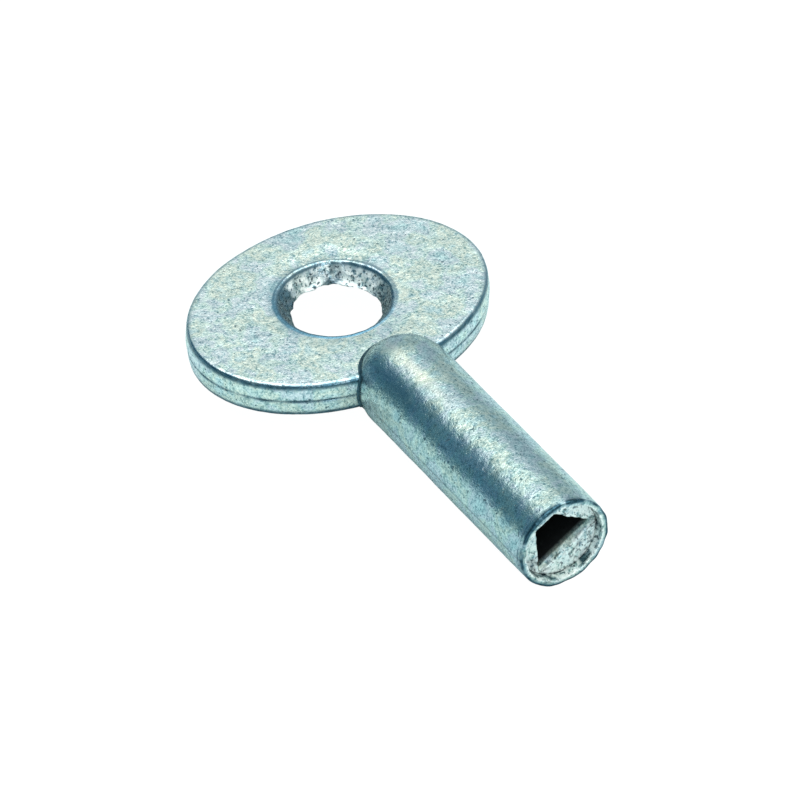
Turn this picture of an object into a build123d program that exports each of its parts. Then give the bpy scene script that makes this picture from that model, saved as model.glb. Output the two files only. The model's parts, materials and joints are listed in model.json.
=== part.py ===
"""Radiator bleed key: an oval bow with a round eye, a domed barrel and a triangular socket.

Millimetres. The origin is the centre of the barrel's mouth, +X runs out of the mouth along the
barrel's axis, +Y runs across the bow and +Z is up, square to the bow's faces. Every piece is
symmetric about the mid-plane of the bow, z = 0.
"""

from build123d import *
import math
import os

# socket, sized by the spindle it turns
TRIANGLE_SIDE = 7.0
TRIANGLE_CORNER = 0.35  # rounding of the socket's corners
SOCKET_DEPTH = 12.0
RECESS = 1.2  # from the mouth to the face round the socket

# socket insert
CORNER_WALL = 0.3  # metal outside each corner of the socket
INSERT_FLOOR = 2.0  # metal behind the socket
INSERT_CHAMFER = 0.3  # lead at the inner end

# barrel
RIM_WALL = 0.74  # the ring that stands round the insert
BARREL_LENGTH = 32.3  # from the mouth to the tip of the dome
DOME_HEIGHT = 5.4  # from the end of the straight barrel to the tip of the dome
MOUTH_ROUND = 0.3  # rounding of the mouth's outer edge

# bow
BOW_WIDTH = 30.3  # across the barrel, at the mid-plane
BOW_LENGTH = 23.4  # along the barrel, at the mid-plane
BOW_THICKNESS = 3.75
DOME_OVERLAP = 4.3  # reach of the dome over the bow's edge
EDGE_DRAFT = 5.0  # degrees, from the mid-plane to each face
EDGE_ROUND = 0.5

# eye, the round hole through the bow
EYE_SETBACK = 0.4  # from the middle of the bow, away from the barrel
EYE_DIAMETER = 8.6  # the straight land at mid-thickness
EYE_LAND = 0.8  # height of that land
EYE_DRAFT = 33.0  # degrees, from the land to each face
EYE_ROUND = 0.5  # rounding of the eye's mouths

# tang, the tongue that holds the bow in the barrel
TANG_WIDTH = 4.4
TANG_LENGTH = 5.0  # beyond the edge of the bow, and as far again inside it

# clearances, each on one side
TANG_CLEARANCE = 0.05  # round the tang and in front of the bow's edge
INSERT_CLEARANCE = 0.02  # round the insert

insert_radius = TRIANGLE_SIDE / math.sqrt(3) - TRIANGLE_CORNER + CORNER_WALL
insert_length = SOCKET_DEPTH + INSERT_FLOOR
bore_radius = insert_radius + INSERT_CLEARANCE
barrel_radius = bore_radius + RIM_WALL
half_thickness = BOW_THICKNESS / 2
bow_front = -BARREL_LENGTH + DOME_OVERLAP
bow_centre = bow_front - BOW_LENGTH / 2


def oval_plate(margin):
    """Solid oval with drafted edges, whose mid-plane outline is the bow's grown by a margin."""
    narrowing = half_thickness * math.tan(math.radians(EDGE_DRAFT))
    half_length = BOW_LENGTH / 2 + margin
    half_width = BOW_WIDTH / 2 + margin
    middle = Ellipse(half_length, half_width).face()
    face = Ellipse(half_length - narrowing, half_width - narrowing).face()
    upper = loft([middle, Pos(0, 0, half_thickness) * face], ruled=True)
    plate = upper + mirror(upper, about=Plane.XY)
    return Pos(bow_centre, 0, 0) * plate


def tang(margin):
    """Tongue from inside the bow to its tip in the barrel, grown by a margin but for its faces."""
    root = bow_front - TANG_LENGTH
    length = 2 * TANG_LENGTH + margin
    return Pos(root + length / 2, 0, 0) * Box(length, TANG_WIDTH + 2 * margin, BOW_THICKNESS)


def eye():
    """Hole through the bow: a straight land at mid-thickness, drafted open to both faces."""
    land_radius = EYE_DIAMETER / 2
    half_land = EYE_LAND / 2
    face_radius = land_radius + (half_thickness - half_land) * math.tan(math.radians(EYE_DRAFT))
    profile = Polyline(
        (0, -half_thickness),
        (face_radius, -half_thickness),
        (land_radius, -half_land),
        (land_radius, half_land),
        (face_radius, half_thickness),
        (0, half_thickness),
        close=True,
    )
    return Pos(bow_centre - EYE_SETBACK, 0, 0) * revolve(Plane.XZ * make_face(profile), Axis.Z)


def face_edges(solid):
    """Edges that lie in the bow's upper and lower faces."""
    return [e for e in solid.edges() if math.isclose(abs(e.center().Z), half_thickness)]


def make_bow():
    """Oval bow with rounded edges, the eye through it and the tang in front."""
    plate = oval_plate(0)
    plate = fillet(face_edges(plate), EDGE_ROUND)
    pierced = plate - eye()
    mouths = [e for e in face_edges(pierced) if e.geom_type == GeomType.CIRCLE]
    return fillet(mouths, EYE_ROUND) + tang(0)


def make_barrel():
    """Domed barrel, slotted for the bow and its tang at one end and bored for the insert."""
    straight_end = -BARREL_LENGTH + DOME_HEIGHT
    outline = Polyline((-BARREL_LENGTH, 0), (0, 0), (0, barrel_radius), (straight_end, barrel_radius))
    dome = EllipticalCenterArc(
        (straight_end, 0), DOME_HEIGHT, barrel_radius, start_angle=90, arc_size=90
    )
    blank = revolve(Plane.XZ * make_face([outline, dome]), Axis.X)
    mouth_edge = blank.edges().filter_by(GeomType.CIRCLE).sort_by(Axis.X)[-1]
    blank = fillet(mouth_edge, MOUTH_ROUND)
    bore_depth = RECESS + insert_length
    bore = Pos(-bore_depth / 2, 0, 0) * Rot(0, 90, 0) * Cylinder(bore_radius, bore_depth)
    return blank - bore - oval_plate(TANG_CLEARANCE) - tang(TANG_CLEARANCE)


def make_socket_insert():
    """Round plug with a blind triangular socket, one corner of it towards +Y."""
    body = extrude(Plane.YZ * Circle(insert_radius), -insert_length)
    inner_edge = body.edges().filter_by(GeomType.CIRCLE).sort_by(Axis.X)[0]
    body = chamfer(inner_edge, INSERT_CHAMFER)
    triangle = RegularPolygon(TRIANGLE_SIDE / math.sqrt(3), 3)
    triangle = fillet(triangle.vertices(), TRIANGLE_CORNER)
    socket = extrude(Plane.YZ * triangle, -SOCKET_DEPTH)
    return Pos(-RECESS, 0, 0) * (body - socket)


os.makedirs("parts", exist_ok=True)
export_step(make_bow(), "parts/bow.step")
export_step(make_barrel(), "parts/barrel.step")
export_step(make_socket_insert(), "parts/socket_insert.step")
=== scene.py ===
"""Radiator bleed key of cast zinc: bow, barrel, the solder between them and the socket insert."""

import json
import math

import bpy
import numpy as np
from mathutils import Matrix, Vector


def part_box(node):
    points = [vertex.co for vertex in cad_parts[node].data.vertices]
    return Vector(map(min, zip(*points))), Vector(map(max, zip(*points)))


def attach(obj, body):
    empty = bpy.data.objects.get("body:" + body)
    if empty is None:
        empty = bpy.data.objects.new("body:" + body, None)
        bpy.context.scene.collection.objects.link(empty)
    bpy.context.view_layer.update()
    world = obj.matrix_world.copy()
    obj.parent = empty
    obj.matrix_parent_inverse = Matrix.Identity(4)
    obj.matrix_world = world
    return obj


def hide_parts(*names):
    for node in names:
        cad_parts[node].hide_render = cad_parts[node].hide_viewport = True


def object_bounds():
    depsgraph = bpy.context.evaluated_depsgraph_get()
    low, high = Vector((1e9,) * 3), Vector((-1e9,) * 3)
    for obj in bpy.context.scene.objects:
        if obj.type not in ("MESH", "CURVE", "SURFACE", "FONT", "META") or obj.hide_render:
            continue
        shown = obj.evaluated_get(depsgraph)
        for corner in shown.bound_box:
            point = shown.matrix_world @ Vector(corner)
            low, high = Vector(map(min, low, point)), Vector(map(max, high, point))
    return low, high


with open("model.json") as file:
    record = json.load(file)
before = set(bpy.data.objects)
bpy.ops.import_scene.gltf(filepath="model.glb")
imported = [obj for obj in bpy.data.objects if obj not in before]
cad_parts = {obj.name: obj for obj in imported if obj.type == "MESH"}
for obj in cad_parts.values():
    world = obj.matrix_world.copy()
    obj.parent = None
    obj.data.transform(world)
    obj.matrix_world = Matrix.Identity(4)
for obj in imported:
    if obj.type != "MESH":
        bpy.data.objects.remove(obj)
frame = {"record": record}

cad_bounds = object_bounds()

# Bow
# The grip is an oval plate of zinc alloy, cast in two half dies that met at mid-thickness. The
# dies left a parting line round its edge and a ragged flash inside the eye, and the plate was
# tumbled and passivated, which rounded its edges and left a grained, faintly blue skin.
MM = 0.001
bow_low, bow_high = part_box("bow")
mounts = {mount["name"]: mount for mount in frame["record"]["mounts"]}
eye_centre = np.array(mounts["eye"]["pos_m"])
eye_radius = mounts["eye"]["dims"]["r_mm"] * MM
tang_length = 5.0 * MM  # the tongue in front of the bow, hidden in the barrel
bow_half_length = (bow_high.x - tang_length - bow_low.x) / 2
bow_centre = np.array([bow_low.x + bow_half_length, 0, 0])
bow_half_width = bow_high.y
bow_half_thickness = bow_high.z
bow_edge_round = 0.45 * MM
bow_edge_draft = math.tan(math.radians(5.0))
rim_groove = 0.06 * MM  # under the face's rounded edge
parting_groove = 0.14 * MM
die_mismatch = 0.05 * MM
dish_depth = 0.06 * MM  # sinking of the faces round the eye
bow_shrinkage = 0.03 * MM  # keeps the uneven skin within the drawn size
BOW_COLUMNS = 570

# the eye: a narrow land at mid-thickness, and above and below it a cone with a rounded mouth
half_land = 0.25 * MM
eye_slope = math.radians(36.0)
eye_flare = 0.35 * MM
# the two dies' cones sat either side of the land's centre, and the lower one flares wider
upper_shift = np.array([0.25, -0.17, 0]) * MM
lower_shift = np.array([-0.40, 0.23, 0]) * MM
lower_flare = 1.3
# how far the flash reaches into the eye from its land in mm, by angle round the eye in degrees
FLASH = (
    (30, 0.0), (60, -0.15), (70, -0.28), (80, 0.02), (92, 0.32), (108, 0.44), (121, 0.48), (130, 0.66),
    (141, 0.56), (152, 0.22), (160, 0.08), (170, 0.30), (181, 0.46), (191, 0.36), (200, -0.15),
    (212, -0.06), (230, 0.26), (240, 0.05), (260, 0.08), (280, 0.0),
)
# how much painted shade darkens the eye's wall, by angle: pale patches show between the shaded stretches
EYE_SHADE = (
    (30, 0.9), (65, 0.9), (88, 0.6), (100, 0.15), (136, 0.1), (147, 0.8), (158, 0.7), (168, 0.1),
    (208, 0.15), (220, 0.95), (285, 0.95), (330, 0.5),
)
# uneven skin in layers: height in mm, size of its features in mm and seed
BOW_SKIN = ((0.028, 3.4, 1), (0.0112, 1.1, 2), (0.0088, 0.42, 3))
EYE_LUMPS = ((0.13, 0.95, 4), (0.06, 0.45, 5))


def lattice_noise(points, cell, seed):
    """Smooth random field from -1 to 1.

    Random values at the corners of cubes one cell wide are blended across each cube with the
    S-curve 3t^2 - 2t^3 along every axis.
    """
    table = np.random.default_rng(seed).uniform(-1, 1, 4096)
    scaled = points / cell
    corner = np.floor(scaled).astype(np.int64)
    part = scaled - corner
    part = part * part * (3 - 2 * part)
    total = 0
    for step in np.ndindex(2, 2, 2):
        at = corner + step
        mixed = at[..., 0] * 73856093 ^ at[..., 1] * 19349663 ^ at[..., 2] * 83492791
        weight = np.where(step, part, 1 - part).prod(axis=-1)
        total = total + weight * table[mixed & 4095]
    return total


def unevenness(points, layers):
    """Height in metres of layers of noise: the sum of each layer's height times its noise."""
    return sum(height * MM * lattice_noise(points, size * MM, seed) for height, size, seed in layers)


def patches(points, size, seed, middle, swing):
    """Smooth patches from 0 to 1: middle + swing times noise with features of a size in mm."""
    return np.clip(middle + swing * lattice_noise(points, size * MM, seed), 0, 1)


def stripe(value, middle, width):
    """1 on the middle and falling off on both sides as a bell: exp(-((value - middle) / width)^2)."""
    return np.exp(-(((value - middle) / width) ** 2))


def rise(value, start, end):
    """0 up to start, 1 from end on, and a straight line between them."""
    return np.clip((value - start) / (end - start), 0, 1)


def facing(angle, degrees):
    """1 towards a direction and 0 away from it: half of 1 + cos(angle - direction)."""
    return 0.5 + 0.5 * np.cos(angle - math.radians(degrees))


def round_table(angle, table):
    """A table's values by angle in degrees, joined by straight lines right round the circle."""
    degrees, values = np.array(table).T
    return np.interp(np.degrees(angle), degrees, values, period=360)


def grid_normals(rings, looped):
    """Unit normals of a grid of rings: the cross product of its steps around and along."""
    if looped:
        along = np.roll(rings, -1, 0) - np.roll(rings, 1, 0)
    else:
        along = np.gradient(rings, axis=0)
    around = np.roll(rings, -1, 1) - np.roll(rings, 1, 1)
    normals = np.cross(around, along)
    length = np.linalg.norm(normals, axis=-1, keepdims=True)
    normals = normals / np.maximum(length, 1e-15)
    middle = rings.reshape(-1, 3).mean(0)
    inward = ((rings - middle) * normals * length).sum() < 0
    return -normals if inward else normals


def ring_mesh(name, rings, looped=False, **fields):
    """Closed mesh of a grid of rings: each ring joins the next, and columns wrap round.

    A looped grid joins its last ring to its first. Any other is closed by a fan of triangles to
    the middle of its first and last rings. Each field is stored as a number per vertex. The
    volume is summed over the quads' two triangles, and the faces are turned if it is negative.
    """
    rows, columns = rings.shape[:2]
    index = np.arange(rows * columns).reshape(rows, columns)
    lower, upper = (index, np.roll(index, -1, 0)) if looped else (index[:-1], index[1:])
    quads = np.stack([lower, np.roll(lower, -1, 1), np.roll(upper, -1, 1), upper], -1).reshape(-1, 4)
    faces = quads.tolist()
    vertices = rings.reshape(-1, 3)
    a, b, c, d = (vertices[quads[:, corner]] for corner in range(4))
    volume = (np.cross(b - a, d - a) * a).sum() + (np.cross(d - c, b - c) * c).sum()
    if not looped:
        vertices = np.vstack([vertices, rings[0].mean(0), rings[-1].mean(0)])
        first_middle = np.full(columns, rows * columns)
        first = np.stack([np.roll(index[0], -1), index[0], first_middle], -1)
        last = np.stack([index[-1], np.roll(index[-1], -1), first_middle + 1], -1)
        faces += first.tolist() + last.tolist()
    if volume < 0:
        faces = [face[::-1] for face in faces]
    mesh = bpy.data.meshes.new(name)
    mesh.from_pydata(vertices.tolist(), [], faces)
    mesh.polygons.foreach_set("use_smooth", np.ones(len(mesh.polygons), bool))
    for field, values in fields.items():
        values = values.ravel()
        if not looped:
            values = np.append(values, [values[0], values[-1]])
        mesh.attributes.new(field, "FLOAT", "POINT").data.foreach_set("value", values)
    piece = bpy.data.objects.new(name, mesh)
    bpy.context.scene.collection.objects.link(piece)
    return piece


def bow_half_profile():
    """Upper half of the bow's section, from the edge at mid-plane over the face into the eye.

    Each row gives a share from outline to eye, the inset from the outline, the distance out
    from the eye's land, and the height.
    """
    h = bow_half_thickness
    wall = (h - bow_edge_round) * np.linspace(0, 1, 11)[:-1] ** 1.7
    turn = np.linspace(0, math.pi / 2, 8)
    edge_inset = np.append(wall, h - bow_edge_round + 0 * turn) * bow_edge_draft
    edge_inset[len(wall):] += bow_edge_round * (1 - np.cos(turn))
    edge_height = np.append(wall, h - bow_edge_round + bow_edge_round * np.sin(turn))
    share = np.linspace(0, 1, 44)[1:-1]
    swing = np.linspace(math.pi / 2, eye_slope, 9)
    wall_top = h - eye_flare + eye_flare * math.sin(eye_slope)
    turn_centre = (wall_top - half_land) * math.tan(eye_slope) + eye_flare * math.cos(eye_slope)
    bore = wall_top * np.linspace(1, 0, 20)[1:] ** 1.2
    cone = np.maximum(bore - half_land, 0) * math.tan(eye_slope)
    eye_out = np.append(turn_centre - eye_flare * np.cos(swing), cone)
    eye_height = np.append(h - eye_flare + eye_flare * np.sin(swing), bore)
    edge, face, eye = len(edge_height), len(share), len(eye_height)
    return np.stack(
        [
            np.concatenate([np.zeros(edge), share, np.ones(eye)]),
            np.concatenate([edge_inset, np.full(face + eye, edge_inset[-1])]),
            np.concatenate([np.full(edge + face, eye_out[0]), eye_out]),
            np.concatenate([edge_height, np.full(face, h), eye_height]),
        ],
        -1,
    )


def bow_rings():
    """The bow's section carried round the eye: radius = oval at the edge, circle at the eye.

    The oval's radius at angle t is ab / sqrt((b cos t)^2 + (a sin t)^2).
    """
    upper = bow_half_profile()
    lower = upper[-2:0:-1] * (1, 1, lower_flare, -1)
    share, inset, out, height = np.vstack([upper, lower]).T[..., None]
    angle = np.linspace(0, 2 * math.pi, BOW_COLUMNS, endpoint=False)
    oval = bow_half_length * bow_half_width / np.hypot(
        bow_half_width * np.cos(angle), bow_half_length * np.sin(angle)
    )
    radius = (1 - share) * (oval - inset) + share * (eye_radius + out)
    height = height + 0 * angle
    points = np.stack([radius * np.cos(angle), radius * np.sin(angle), height], -1) + bow_centre
    above = np.clip(height / bow_half_thickness, 0, 1)[..., None]
    below = np.clip(-height / bow_half_thickness, 0, 1)[..., None]
    shift = eye_centre - bow_centre + above * upper_shift + below * lower_shift
    points = points + share[..., None] * shift
    return points, share + 0 * angle, height, angle


rings, share, height, angle = bow_rings()
in_eye = share > 0.999
on_edge = share < 0.001
radial = np.stack([np.cos(angle), np.sin(angle), 0 * angle], -1)

# the flash is a thin ragged sheet with nearly straight runs between its points
flash = round_table(angle, FLASH) * MM + 0.04 * MM * lattice_noise(rings, 0.5 * MM, 11)
flash_sheet = stripe(height, 0, 0.15 * MM)
rings = rings - radial * (in_eye * flash_sheet * flash)[..., None]

# the dies were a little out of line, and the trimmed parting line is a broken groove
broken = patches(rings, 1.4, 12, 0.75, 0.5)
below_face = bow_half_thickness - np.abs(height)
rim_line = stripe(below_face, 0.35 * MM, 0.20 * MM) * on_edge
seam = stripe(height, 0, 0.09 * MM)
edge_inset = (parting_groove * seam + rim_groove * rim_line) * broken + die_mismatch * (height < 0)
rings = rings - radial * (on_edge * edge_inset)[..., None]

# the skin is uneven everywhere, most of all inside the eye, and dished a little round it
from_eye = np.hypot(rings[..., 0] - eye_centre[0], rings[..., 1]) - eye_radius
dish = dish_depth * stripe(from_eye, 1.5 * MM, 1.2 * MM) * ~in_eye * ~on_edge
lumps = unevenness(rings, EYE_LUMPS) * rise(from_eye, 1.5 * MM, 0.5 * MM) * (1 - flash_sheet * 0.5)
skin = unevenness(rings, BOW_SKIN) + lumps - dish - bow_shrinkage
rings = rings + grid_normals(rings, True) * skin[..., None]

# painted shade lies in the parting line, under the rim, at the eye's lips, down its wall, on one side
# round the eye and on the edge's turn
wide_seam = stripe(height, 0, 0.18 * MM) * on_edge
# painted shade: the groove under the rim and the parting line are darkened as shade falls in them
groove_shade = np.clip(rim_line * (0.7 + 0.3 * broken) + wide_seam * broken, 0, 1)
blotches = patches(rings, 0.8, 14, 0.55, 0.9)
# painted shade down the eye's wall, in stretches by angle, with pale patches between them
dirt_and_shade = round_table(angle, EYE_SHADE)
down_wall = in_eye * rise(below_face, 0.30 * MM, 0.45 * MM)
# painted shade on the eye's lips, strongest on the near lip, on one side of the face round the eye and
# on the edge's turn, dimming their highlights
lip_shade = in_eye * stripe(below_face, 0.24 * MM, 0.13 * MM)
near_lip_shade = (share > 0.965) * stripe(below_face, 0, 0.20 * MM) * (0.35 + 0.6 * facing(angle, 330))
eye_side_shade = stripe(from_eye, 1.7 * MM, 0.5 * MM) * facing(angle, 240) * ~on_edge
edge_shade = on_edge * stripe(below_face, 0.14 * MM, 0.16 * MM) * (0.2 + 0.5 * blotches)
# painted shade also under the eye's wall at the flash
painted_dark = 0.9 * groove_shade + 0.7 * lip_shade + near_lip_shade + 0.4 * eye_side_shade + 0.6 * in_eye * flash_sheet + edge_shade
bow = ring_mesh(
    "bow_skin",
    rings,
    looped=True,
    # wear and a painted highlight: a thin bright line along the top of the edge
    wear=0.25 * on_edge * stripe(below_face, 0.03 * MM, 0.07 * MM) * broken,
    grime=np.clip(down_wall * dirt_and_shade * (0.5 + 0.5 * blotches) + groove_shade + 0.4 * lip_shade, 0, 1),
    tarnish=np.clip(painted_dark + down_wall * dirt_and_shade * (1 - blotches), 0, 1),
    chalk=down_wall * (1 - dirt_and_shade) * np.clip(blotches + 0.35, 0, 1),
    pitted=down_wall,
)


class Socket:
    """One output of a node. Arithmetic on it adds Math nodes beside that node."""

    def __init__(self, finish, output):
        self.finish, self.output = finish, output

    def maths(self, operation, *values):
        return self.finish.node("ShaderNodeMath", {"operation": operation}, dict(enumerate(values)))

    def __add__(self, other):
        return self.maths("ADD", self, other)

    def __sub__(self, other):
        return self.maths("SUBTRACT", self, other)

    def __rsub__(self, other):
        return self.maths("SUBTRACT", other, self)

    def __mul__(self, other):
        return self.maths("MULTIPLY", self, other)

    __radd__ = __add__
    __rmul__ = __mul__

    def within(self, low, high):
        """0 at low, 1 at high, and in a straight line between them."""
        span = {"Value": self, "From Min": low, "From Max": high}
        return self.finish.node("ShaderNodeMapRange", {"clamp": True}, span)


class Finish:
    """The nodes of a material or of the room round the key, added one by one."""

    def __init__(self, owner, coordinates="Object"):
        owner.use_nodes = True
        self.tree = owner.node_tree
        self.tree.nodes.clear()
        self.place = self.node("ShaderNodeTexCoord", output=coordinates)

    def node(self, kind, settings=None, sockets=None, output=0):
        """A new node with its settings made and its sockets filled, as one of its outputs."""
        made = self.tree.nodes.new(kind)
        for setting, value in (settings or {}).items():
            if setting == "stops":
                ramp = made.color_ramp.elements
                while len(ramp) < len(value):
                    ramp.new(1.0)
                for stop, (position, colour) in zip(ramp, value):
                    stop.position, stop.color = position, (*colour, 1.0)
            else:
                setattr(made, setting, value)
        for socket, value in (sockets or {}).items():
            if isinstance(value, Socket):
                self.tree.links.new(value.output, made.inputs[socket])
            else:
                made.inputs[socket].default_value = value
        return Socket(self, made.outputs[output]) if made.outputs else None

    def noise(self, size, detail=2.0, roughness=0.55):
        """Noise whose features are about the given size in metres."""
        sockets = {"Vector": self.place, "Scale": 1 / size, "Detail": detail, "Roughness": roughness}
        return self.node("ShaderNodeTexNoise", None, sockets)

    def ramp(self, value, stops):
        """Colour from stops along a value."""
        return self.node("ShaderNodeValToRGB", {"stops": stops}, {"Fac": value})

    def blend(self, factor, first, second, how="MIX"):
        """Two colours mixed, or multiplied by the second where how is MULTIPLY."""
        if isinstance(second, tuple):
            second = (*second, 1.0)
        settings = {"data_type": "RGBA", "blend_type": how}
        return self.node("ShaderNodeMix", settings, {0: factor, 6: first, 7: second}, 2)

    def field(self, name):
        """A number stored on the mesh's vertices."""
        return self.node("ShaderNodeAttribute", {"attribute_name": name}, output="Fac")

    def bump(self, height, depth, **sockets):
        """A normal tilted by a height, whose full range is the given depth in metres."""
        return self.node("ShaderNodeBump", None, {"Height": height, "Distance": depth, **sockets})


# Bare zinc alloy is faintly blue, green or straw from place to place. Over it, each colour lies
# where the mesh says: painted shade, dirt and painted shade, bloom and painted light, black specks,
# painted shadow, a warm painted highlight, and wear and painted sheen.
BARE_ZINC = (
    (0.30, (0.54, 0.72, 0.75)),
    (0.43, (0.64, 0.71, 0.76)),
    (0.50, (0.62, 0.76, 0.74)),
    (0.58, (0.70, 0.76, 0.69)),
    (0.70, (0.58, 0.74, 0.76)),
)
GRAIN_SHADE = (
    (0.0, (0.22, 0.34, 0.38)),
    (0.3, (0.62, 0.72, 0.75)),
    (0.55, (1.0, 1.0, 1.0)),
    (1.0, (1.45, 1.34, 1.30)),
)
WARM_HIGHLIGHT = (1.25, 1.12, 0.94)
PIT = (0.05, 0.11, 0.14)
SHADE_BLUE = (0.10, 0.22, 0.30)
DIRT_AND_SHADE = (0.016, 0.052, 0.07)
BLOOM_AND_PAINTED_LIGHT = (0.93, 0.97, 0.93)
SPECK = (0.02, 0.05, 0.07)
SOCKET_SHADOW_BLACK = (0.004, 0.005, 0.006)
WORN_AND_SHEEN = (0.86, 0.95, 0.93)


def cast_zinc(name, tone=(0.93, 0.94, 0.93), roughness=0.20):
    """Passivated cast zinc: fine mottled grain on faint patches, with pits, dirt and wear, and painted
    shade, shadow, light and highlights where the mesh asks.
    """
    material = bpy.data.materials.new(name)
    zinc = Finish(material)

    def toned(colour):
        return tuple(part * share for part, share in zip(colour, tone))

    tint = zinc.ramp(zinc.noise(2.6 * MM, 3.0), [(stop, toned(colour)) for stop, colour in BARE_ZINC])
    grain = zinc.noise(0.21 * MM, 2.0, 0.6)
    speckle = grain.within(0.33, 0.62) * 0.6 + zinc.noise(0.5 * MM).within(0.33, 0.66) * 0.4
    colour = zinc.blend(1.0, tint, zinc.ramp(speckle, GRAIN_SHADE), "MULTIPLY")
    pits = zinc.noise(0.36 * MM, 1.0, 0.4).within(0.67, 0.74)
    colour = zinc.blend(pits * 0.8, colour, PIT)
    # painted highlight: a warm straw tint where the mesh asks, beside the barrel's dark reflection
    colour = zinc.blend(zinc.field("straw"), colour, toned(WARM_HIGHLIGHT))
    # painted shade: dark blue-grey where the mesh asks, for shade in grooves, lips and the crease, and
    # for a dark reflection along the barrel
    colour = zinc.blend(zinc.field("tarnish"), colour, SHADE_BLUE)
    # dirt and painted shade: near black where the mesh asks, dirt in seams and holes and painted shade
    # in grooves, gaps, the crease and recesses
    dirt_and_shade_amount = zinc.field("grime") * (0.6 + 0.4 * zinc.noise(0.42 * MM).within(0.36, 0.56))
    colour = zinc.blend(dirt_and_shade_amount * 0.96, colour, DIRT_AND_SHADE)
    # pale bloom and painted light: matt near white where the mesh asks, among it painted light in the
    # bore and a painted highlight on the rim's inner edge
    chalk = zinc.field("chalk") * zinc.noise(0.5 * MM).within(0.36, 0.52)
    colour = zinc.blend(chalk * 0.95, colour, BLOOM_AND_PAINTED_LIGHT)
    specks = zinc.field("pitted") * zinc.noise(0.30 * MM, 1.0).within(0.59, 0.65)
    colour = zinc.blend(specks * 0.9, colour, SPECK)
    # painted shadow: matt black where the mesh asks, deep in the socket where no light reaches
    soot = zinc.field("soot")
    colour = zinc.blend(soot, colour, SOCKET_SHADOW_BLACK)
    # wear and painted sheen: pale where the mesh asks, worn spots and also a painted highlight on the
    # bow's edge and a painted reflection by the dome
    wear = zinc.field("wear") * zinc.noise(0.5 * MM).within(0.3, 0.55)
    colour = zinc.blend(wear * 0.8, colour, WORN_AND_SHEEN)
    fine = zinc.bump(grain - 0.6 * pits, 0.020 * MM)
    coarse = zinc.bump(zinc.noise(0.7 * MM), 0.03 * MM, Normal=fine)
    surface = {
        "Base Color": colour,
        "Metallic": 0.95 - 0.6 * soot - 0.85 * chalk,
        "Roughness": roughness + 0.14 * (1 - speckle) + 0.2 * pits + 0.3 * soot + 0.3 * chalk,
        "Normal": coarse,
    }
    shader = zinc.node("ShaderNodeBsdfPrincipled", None, surface)
    zinc.node("ShaderNodeOutputMaterial", None, {"Surface": shader})
    return material


bow.data.materials.append(cast_zinc("bow_zinc"))
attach(bow, "root")
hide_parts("bow")

# Barrel
# A round bar of the same alloy with a domed end that straddles the bow. It is bored at the mouth,
# which leaves a thin ring round the socket, and it carries the dies' parting line on both sides.
barrel_low, barrel_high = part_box("barrel")
insert_low, insert_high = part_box("socket_insert")
barrel_radius = barrel_high.y
dome_height = 5.4 * MM
jaw = math.sqrt(1 - (bow_half_thickness / barrel_radius) ** 2)  # the dome's share at the bow's faces
dome_start = barrel_low.x + dome_height * jaw
mouth_round = 0.26 * MM
lip_round = 0.14 * MM
insert_clearance = 0.02 * MM
bore_radius = insert_high.y + insert_clearance
burr_height = 0.10 * MM
seam_height = 0.035 * MM
barrel_shrinkage = 0.06 * MM  # keeps the skin and the burrs within the drawn size
BARREL_COLUMNS = 360
BARREL_SKIN = ((0.028, 3.6, 21), (0.0112, 1.1, 22), (0.008, 0.42, 23))
# how much painted shade, in dark dashes, dims the outer turn of the rim, by angle round the mouth in
# degrees from +Y
RIM_SHADE = (
    (0, 0.8), (20, 0.5), (45, 0.3), (60, 0.1), (66, 1.0), (82, 1.0), (86, 0.1), (91, 0.3), (95, 1.0),
    (114, 1.0), (119, 0.4), (132, 0.9), (150, 0.6), (160, 0.1), (180, 0.6), (200, 0.3), (230, 0.9),
    (262, 0.9), (270, 0.4), (300, 0.9), (330, 0.5),
)


def barrel_profile():
    """Section of the barrel as distance along, radius and stretch: outside, rim or inside.

    Outside are the dome, a quarter of an ellipse, the bar and the mouth's rounded edge. The rim
    is flat with a rounded inner edge, and inside are the bore and its floor.
    """
    swing = np.linspace(0.03, math.pi / 2, 24)[:-1]
    bar = np.append(np.linspace(dome_start, -1.2 * MM, 180), np.linspace(-1.15 * MM, -mouth_round, 20))
    turn = np.linspace(0, math.pi / 2, 8)[1:]
    flat = np.linspace(barrel_radius - mouth_round, bore_radius + lip_round, 6)[1:-1]
    roll = np.linspace(0, math.pi / 2, 6)
    near = np.linspace(-lip_round, 1.15 * insert_high.x, 9)[1:]
    deep = np.linspace(near[-1], insert_low.x, 7)[1:]
    floor = np.linspace(bore_radius, 0.06 * bore_radius, 6)[1:]
    outside = (
        [dome_start - dome_height * np.cos(swing), bar, -mouth_round + mouth_round * np.sin(turn)],
        [
            barrel_radius * np.sin(swing),
            np.full(len(bar), barrel_radius),
            barrel_radius - mouth_round + mouth_round * np.cos(turn),
        ],
    )
    rim = (
        [0 * flat, -lip_round + lip_round * np.cos(roll)],
        [flat, bore_radius + lip_round - lip_round * np.sin(roll)],
    )
    inside = (
        [near, deep, np.full(len(floor), insert_low.x)],
        [np.full(len(near) + len(deep), bore_radius), floor],
    )
    stretches = [np.stack([np.concatenate(part) for part in piece]) for piece in (outside, rim, inside)]
    labels = [np.full(piece.shape[1], place) for place, piece in enumerate(stretches)]
    return *np.concatenate(stretches, axis=1), np.concatenate(labels)


def turned(along, radius, columns):
    """A profile carried round the X axis: y = r cos t and z = r sin t."""
    angle = np.linspace(0, 2 * math.pi, columns, endpoint=False)
    across = radius[:, None] * np.cos(angle)
    up = radius[:, None] * np.sin(angle)
    return np.stack([along[:, None] + 0 * angle, across, up], -1)


along, radius, stretch = barrel_profile()
rings = turned(along, radius, BARREL_COLUMNS)
outside, on_rim, inside = (np.repeat(stretch[:, None] == place, BARREL_COLUMNS, 1) for place in range(3))

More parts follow.
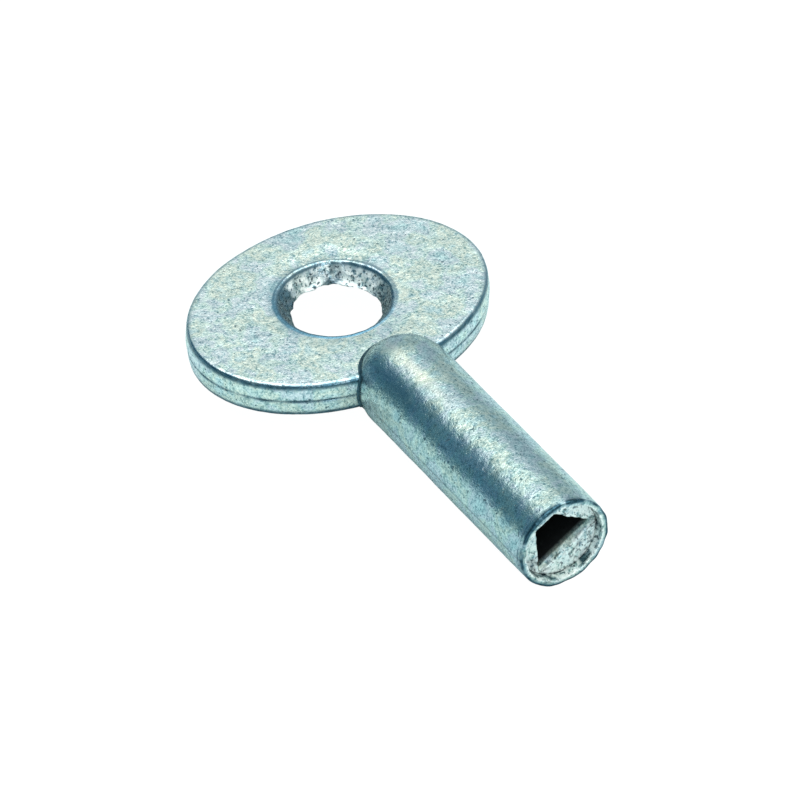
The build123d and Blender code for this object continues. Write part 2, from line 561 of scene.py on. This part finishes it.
# the mouth is burred, and nothing of it stands proud of the rim
near_mouth = stripe(rings[..., 0], 0, 0.5 * MM)
burrs = burr_height * near_mouth * lattice_noise(rings, 0.9 * MM, 24)
skin = (unevenness(rings, BARREL_SKIN) + burrs - barrel_shrinkage) * ~inside
seam = stripe(rings[..., 2], 0, 0.10 * MM) * outside
ridge = seam_height * seam * (0.6 + 0.4 * lattice_noise(rings, 1.8 * MM, 25))
rings = rings + grid_normals(rings, False) * (skin + ridge)[..., None]
rings[..., 0] = np.minimum(rings[..., 0], 0)

# a painted dark reflection and a painted warm highlight run along the bar in front of the dome, and dirt
# and painted shade lie round the mouth
x = rings[..., 0]
turn = np.arctan2(rings[..., 2], rings[..., 1])
from_side = np.abs(np.degrees(turn))
# painted reflection in front of the dome: a dark streak at 132 degrees from +Y and a warm highlight at
# 103 degrees
reflection_band = stripe(x, -24 * MM, 5 * MM) * (0.75 + 0.25 * lattice_noise(rings, 0.9 * MM, 26))
# painted shade in dark dashes round the rim's outer turn, dimming its highlight, and a second dash on
# the near side
rim_shade_by_angle = np.clip(round_table(turn, RIM_SHADE) + 0.35 * lattice_noise(rings, 0.6 * MM, 27), 0, 1)
second_dash = stripe(x, -0.70 * MM, 0.10 * MM) * stripe(from_side, 165, 28)
rim_shade_lines = (stripe(x, -0.16 * MM, 0.20 * MM) + second_dash) * rim_shade_by_angle * outside
from_bore = np.hypot(rings[..., 1], rings[..., 2]) - bore_radius
outer_turn_shade = stripe(from_bore, 0.58 * MM, 0.16 * MM) * near_mouth * rim_shade_by_angle * ~inside
# painted highlight: a bright band on the rim's inner edge
inner_lip_highlight = on_rim * stripe(from_bore, 0.12 * MM, 0.14 * MM)
wall_dirt = patches(rings, 0.6, 28, 0.25, 2.4)
# painted shade: the bore is darker deeper in
deep_bore_shade = inside * rise(x, -0.75 * MM, -1.00 * MM)
# dirt in random patches on the bore and along the seam, and painted shade deeper in the bore and round
# the rim
dirt_and_shade = inside * wall_dirt + 0.5 * deep_bore_shade + 0.7 * seam + rim_shade_lines + outer_turn_shade
barrel = ring_mesh(
    "barrel_skin",
    rings,
    # wear and painted sheen: a pale band on the near side of the bar by the dome, a painted reflection
    wear=0.6 * rise(x, -24 * MM, -26 * MM) * rise(from_side, 154, 162),
    grime=np.clip(dirt_and_shade, 0, 1),
    tarnish=np.clip(0.8 * reflection_band * stripe(from_side, 132, 11) + 0.95 * rim_shade_lines + outer_turn_shade, 0, 1),
    straw=0.7 * reflection_band * stripe(from_side, 103, 7),
    # painted light on the bore between its dark patches, and the painted highlight on the rim's inner
    # edge
    chalk=np.clip(0.9 * inner_lip_highlight + 0.7 * inside * (1 - wall_dirt), 0, 1),
    pitted=np.clip(inside + 0.5 * stripe(x, 0, 0.3 * MM), 0, 1),
)
barrel.data.materials.append(cast_zinc("barrel_zinc", (0.66, 0.735, 0.745)))
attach(barrel, "root")
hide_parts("barrel")

# Solder
# The bow sits in the barrel's slot, and the joint was run full of solder. What shows of it is a
# thin hollow fillet all round, over both faces and down the edges of the bow.
fillet_radius = 0.19 * MM
SOLDER_STEPS = 900


def joint_line():
    """Closed line where the bow's surface meets the barrel's, with both surfaces' normals.

    On the faces it is the dome's section, an ellipse. Down the edges it is found by halving an
    interval of x until the barrel's width there is the bow's. It is spaced evenly in the end.
    """
    profile = bow_half_profile()
    profile = profile[profile[:, 0] == 0]
    inset, height = profile[::-1, 1], profile[::-1, 3]
    inset = np.append(inset, inset[-2::-1])
    height = np.append(height, -height[-2::-1])
    low = np.full(len(height), dome_start - 0.8 * dome_height)
    high = low + 2 * dome_height
    half_length, half_width = bow_half_length - inset, bow_half_width - inset
    for _ in range(40):
        x = (low + high) / 2
        reach = np.clip((dome_start - x) / dome_height, 0, 1)
        width = np.sqrt(np.maximum(barrel_radius**2 * (1 - reach**2) - height**2, 0))
        beyond = (width / half_width) ** 2 + ((x - bow_centre[0]) / half_length) ** 2 > 1
        high, low = np.where(beyond, x, high), np.where(beyond, low, x)
    slope = np.gradient(inset) / np.maximum(np.abs(np.gradient(height)), 1e-9) * np.sign(height)
    edge_normal = np.stack([(x - bow_centre[0]) / half_length**2, width / half_width**2], -1)
    edge_normal = edge_normal / np.linalg.norm(edge_normal, axis=-1, keepdims=True)
    edge_normal = np.column_stack([edge_normal, np.abs(slope) * np.sign(height)])
    side = np.column_stack([x, width, height])
    last = math.acos((dome_start - x[0]) / (dome_height * jaw))
    swing = np.linspace(-last, last, 300)
    face = np.column_stack(
        [
            dome_start - dome_height * jaw * np.cos(swing),
            barrel_radius * jaw * np.sin(swing),
            0 * swing + bow_half_thickness,
        ]
    )
    up = np.tile((0.0, 0.0, 1.0), (len(face), 1))
    line = np.vstack([face, side[1:-1], face[::-1] * (1, 1, -1), side[-2:0:-1] * (1, -1, 1)])
    normals = np.vstack([up, edge_normal[1:-1], -up, edge_normal[-2:0:-1] * (1, -1, 1)])
    line, normals = np.vstack([line, line[:1]]), np.vstack([normals, normals[:1]])
    run = np.append(0, np.linalg.norm(np.diff(line, axis=0), axis=1).cumsum())
    even = np.linspace(0, run[-1], SOLDER_STEPS, endpoint=False)
    line = np.stack([np.interp(even, run, line[:, axis]) for axis in range(3)], -1)
    plate_normal = np.stack([np.interp(even, run, normals[:, axis]) for axis in range(3)], -1)
    plate_normal /= np.linalg.norm(plate_normal, axis=-1, keepdims=True)
    past = np.minimum(line[:, 0] - dome_start, 0) / dome_height**2
    bar_normal = np.column_stack([past, line[:, 1:] / barrel_radius**2])
    bar_normal /= np.linalg.norm(bar_normal, axis=-1, keepdims=True)
    return line, plate_normal, bar_normal


def solder_rings():
    """A hollow fillet's section carried along the joint: a quarter circle, and roots behind it.

    The quarter circle runs from one fillet radius out on the plate to one radius up on the bar.
    """
    line, plate, bar = joint_line()
    on_plate = bar - plate * (bar * plate).sum(-1, keepdims=True)
    on_plate /= np.linalg.norm(on_plate, axis=-1, keepdims=True)
    on_bar = plate - bar * (bar * plate).sum(-1, keepdims=True)
    on_bar /= np.linalg.norm(on_bar, axis=-1, keepdims=True)
    uneven = fillet_radius * (1 + 0.35 * lattice_noise(line, 1.3 * MM, 31))[:, None, None]
    turn = np.linspace(0, math.pi / 2, 9)[:, None]
    on_plate, on_bar, line, plate, bar = (v[:, None] for v in (on_plate, on_bar, line, plate, bar))
    hollow = on_plate * (1 - np.sin(turn)) + on_bar * (1 - np.cos(turn))
    root = -0.35 * (plate + bar)
    section = np.concatenate([on_plate - 0.2 * plate, hollow, on_bar - 0.2 * bar, root], axis=1)
    return line + section * uneven


rings = solder_rings()
# painted shade: the fillet's dark tone, dirt and shade stand for the shade in the crease where the bow
# meets the barrel
solder_painted_shade = ring_mesh(
    "solder_fillet",
    rings,
    looped=True,
    grime=np.full(rings.shape[:2], 0.9),
    tarnish=np.full(rings.shape[:2], 0.6),
)
solder_painted_shade.data.materials.append(cast_zinc("solder_painted_shade", (0.3, 0.37, 0.39), 0.36))
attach(solder_painted_shade, "root")

# Socket insert
# A round plug pressed into the bore until its face lies just behind the mouth's rim. The blind
# triangular socket is cast in it, with a lumpy face that nobody has machined.
insert_radius = insert_high.y
socket_depth = 12.0 * MM
lead_depth = 0.6 * MM  # of the bevel that leads into the socket
plug_bevel = 0.3 * MM
plug_lip = 0.1 * MM
hole_depth = 0.16 * MM
skin_margin = 0.05 * MM  # nothing is uneven within this of the plug's side
# each side of the socket: the direction it faces away to, its distance from the axis and its lead-in
SIDES = ((180.0, 2.15 * MM, 0.10 * MM), (60.0, 2.07 * MM, 0.10 * MM), (-60.0, 1.64 * MM, 0.27 * MM))
CORNER_SHARPNESS = 20
LARGEST_SHARE = 0.985  # of the plug's radius, that a corner of the socket may reach
face_slope = np.array([0.045, -0.055])  # the face is a little further out on its lower right
INSERT_COLUMNS = 540
FACE_LUMPS = ((0.09, 0.8, 41), (0.05, 0.4, 42))


def triangle_radius(angle, lead=0.0):
    """Radius of the socket's outline at each angle, its sides moved out by a share of the lead-in.

    Each side asks for cos(t - its direction) / its distance, and the radius is one over their
    p-norm, so a high p keeps the corners sharp. It stays inside the plug.
    """
    direction, distance, lead_in = np.array(SIDES).T[..., None]
    asked = np.maximum(np.cos(angle - np.radians(direction)), 0) / (distance + lead * lead_in)
    radius = 1 / (asked**CORNER_SHARPNESS).sum(0) ** (1 / CORNER_SHARPNESS)
    return np.minimum(radius, LARGEST_SHARE * insert_radius)


def insert_rings():
    """Rings from the back of the plug round its side, across its sloping face and down the socket.

    A ring is a distance along and a radius: the plug's circle, then straight lines from it to the
    socket's mouth and from there to its triangle, and that triangle down to a flat floor.
    """
    angle = np.linspace(0, 2 * math.pi, INSERT_COLUMNS, endpoint=False)
    circle = np.full(INSERT_COLUMNS, insert_radius)
    triangle, mouth = triangle_radius(angle), triangle_radius(angle, 1.0)
    face_x, back_x = insert_high.x, insert_low.x
    bore_x, bore_depth = face_x - lead_depth, socket_depth - lead_depth
    steps, few_steps = np.linspace(0, 1, 24)[1:], np.linspace(0, 1, 7)[1:]
    rows = [(back_x, s * (circle - plug_bevel)) for s in (0.05, 0.35, 0.7, 1.0)]
    rows += [(x, circle) for x in np.linspace(back_x + plug_bevel, face_x - plug_lip, 12)]
    for t in (0.5, 1.0, 1.57):
        rows.append((face_x - plug_lip * (1 - math.sin(t)), circle - plug_lip * (1 - math.cos(t))))
    rows += [(face_x, (1 - s) * (circle - plug_lip) + s * mouth) for s in steps]
    rows += [(face_x - lead_depth * s, (1 - s) * mouth + s * triangle) for s in few_steps]
    rows += [(bore_x - bore_depth * s**1.8, triangle) for s in steps]
    rows += [(face_x - socket_depth, s * triangle) for s in (0.75, 0.5, 0.25, 0.05)]
    along = np.array([x for x, _ in rows])[:, None] + 0 * angle
    radius = np.stack([radius for _, radius in rows])
    across, up = radius * np.cos(angle), radius * np.sin(angle)
    near_face = np.clip((along - back_x) / (face_x - back_x), 0, 1) ** 8
    along = along + near_face * (face_slope[0] * across + face_slope[1] * up)
    return np.stack([along, across, up], -1)


# the face and the socket's first stretch are lumpy and full of small holes
rings = insert_rings()
from_axis = np.hypot(rings[..., 1], rings[..., 2])
behind_face = insert_high.x + rings[..., 1:] @ face_slope - rings[..., 0]
on_face = stripe(behind_face, 0, 0.25 * MM)
off_side = from_axis < insert_radius - skin_margin
lumpy = off_side * (rings[..., 0] > insert_low.x + 1 * MM)
lumps = unevenness(rings, FACE_LUMPS)
holes = rise(lattice_noise(rings, 0.55 * MM, 43), 0.45, 1.0)
skin = ((lumps - hole_depth * holes) * on_face + 0.02 * lumps) * lumpy
rings = rings + grid_normals(rings, False) * skin[..., None]

# painted shadow black inside, painted shade in the gap round the face, dirt and painted shade in its
# holes, and the face painted pale, most of all on its upper strip
gap_shade = rise(from_axis, insert_radius - 0.35 * MM, insert_radius - 0.05 * MM)
upper_strip = on_face * rise(rings[..., 2], 0.9 * MM, 1.7 * MM)
insert = ring_mesh(
    "socket_plug",
    rings,
    wear=0.3 * on_face,
    # painted shade in the gap round the face, and dirt and painted shade in its holes
    grime=np.clip(0.9 * gap_shade + rise(holes, 0, 0.19) * on_face, 0, 1),
    chalk=np.clip(upper_strip + 0.65 * on_face, 0, 1),
    pitted=on_face * lumpy,
    # painted shadow: black deeper than about half a millimetre into the socket
    soot=rise(behind_face, 0.55 * MM, 1.05 * MM) * off_side,
)
insert.data.materials.append(cast_zinc("socket_zinc", (0.85, 0.9, 0.9), 0.36))
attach(insert, "root")
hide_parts("socket_insert")

# Floor
# A pale matt table under the key, level with the lowest line of the barrel. Seen directly it is
# lifted towards white, so that the key's shadow stays faint, while the metal reflects its own grey.
FLOOR_SIZE = 6.0
LIFT = 0.85
bpy.ops.mesh.primitive_plane_add(size=FLOOR_SIZE, location=(0, 0, cad_bounds[0].z))
floor = bpy.context.object
floor.name = "table"
table_top = bpy.data.materials.new("table_top")
table = Finish(table_top)
grey = table.ramp(table.noise(0.05), [(0.3, (0.57, 0.70, 0.71)), (0.7, (0.59, 0.72, 0.73))])
top = table.node("ShaderNodeBsdfPrincipled", None, {"Base Color": grey, "Roughness": 0.7})
white = table.node("ShaderNodeEmission", None, {"Color": (1.0, 1.0, 1.0, 1.0), "Strength": 1.15})
seen = table.node("ShaderNodeLightPath", output="Is Camera Ray")
lifted = table.node("ShaderNodeMixShader", None, {0: seen * LIFT, 1: top, 2: white})
table.node("ShaderNodeOutputMaterial", None, {"Surface": lifted})
floor.data.materials.append(table_top)

# Light
# A pale ceiling and paler far walls, a dark wall on the near side, and two soft lamps: one overhead
# that lights the table and draws a bright line along the barrel, and a small one at the mouth.
SKY = ((0.5, (0.47, 0.58, 0.62)), (0.64, (0.74, 0.85, 0.85)), (0.76, (1.12, 1.18, 1.12)))
DARK_WALL = (0.052, 0.19, 0.275)
world = bpy.data.worlds.new("studio")
bpy.context.scene.world = world
room = Finish(world, "Generated")
along, far, up = (room.node("ShaderNodeSeparateXYZ", None, {0: room.place}, axis) for axis in "XYZ")
near_side = (0 - far - 0.42 * up).within(-0.05, 0.03) * (1 - 0.8 * along.within(-0.1, 0.4))
walls = room.blend(near_side, room.ramp(up, SKY), DARK_WALL)
glow = room.node("ShaderNodeBackground", None, {"Color": walls, "Strength": 1.0})
room.node("ShaderNodeOutputWorld", None, {"Surface": glow})


def soft_lamp(name, size, energy, place, target):
    """A square lamp of a size in metres and an energy in watts, at a place and facing a target."""
    lamp = bpy.data.lights.new(name, "AREA")
    lamp.size, lamp.energy = size, energy
    holder = bpy.data.objects.new(name, lamp)
    bpy.context.scene.collection.objects.link(holder)
    holder.location = place
    holder.rotation_mode = "QUATERNION"
    holder.rotation_quaternion = (Vector(place) - Vector(target)).to_track_quat("Z", "Y")


middle_x = (bow_low.x + barrel_high.x) / 2
soft_lamp("lamp_overhead", 0.8, 3.6, (middle_x, 0, 0.6), (middle_x, 0, 0))
soft_lamp("lamp_mouth", 0.2, 0.5, (0.5, -0.12, 0.16), (0, 0, 0))

# Camera
# A long lens nearly a metre off looks down on the mouth's side of the key, rolled by a few degrees,
# and colours are shown as they are lit, with no film curve.
azimuth, elevation, roll = math.radians(60.4), math.radians(40.15), math.radians(3.1)
camera_distance = 0.95
aim = Vector((-25.75, -1.78, 0.0)) * MM
level = math.cos(elevation)
back = Vector((math.sin(azimuth) * level, -math.cos(azimuth) * level, math.sin(elevation)))
camera = bpy.data.objects.new("camera", bpy.data.cameras.new("camera"))
bpy.context.scene.collection.objects.link(camera)
camera.data.sensor_width, camera.data.lens = 36.0, 462.0
camera.data.clip_start, camera.data.clip_end = 0.05, 20.0
camera.location = aim + back * camera_distance
camera.rotation_mode = "QUATERNION"
tilt = Matrix.Rotation(-roll, 3, "Z").to_quaternion()
camera.rotation_quaternion = back.to_track_quat("Z", "Y") @ tilt
bpy.context.scene.camera = camera
bpy.context.scene.view_settings.view_transform = "Standard"
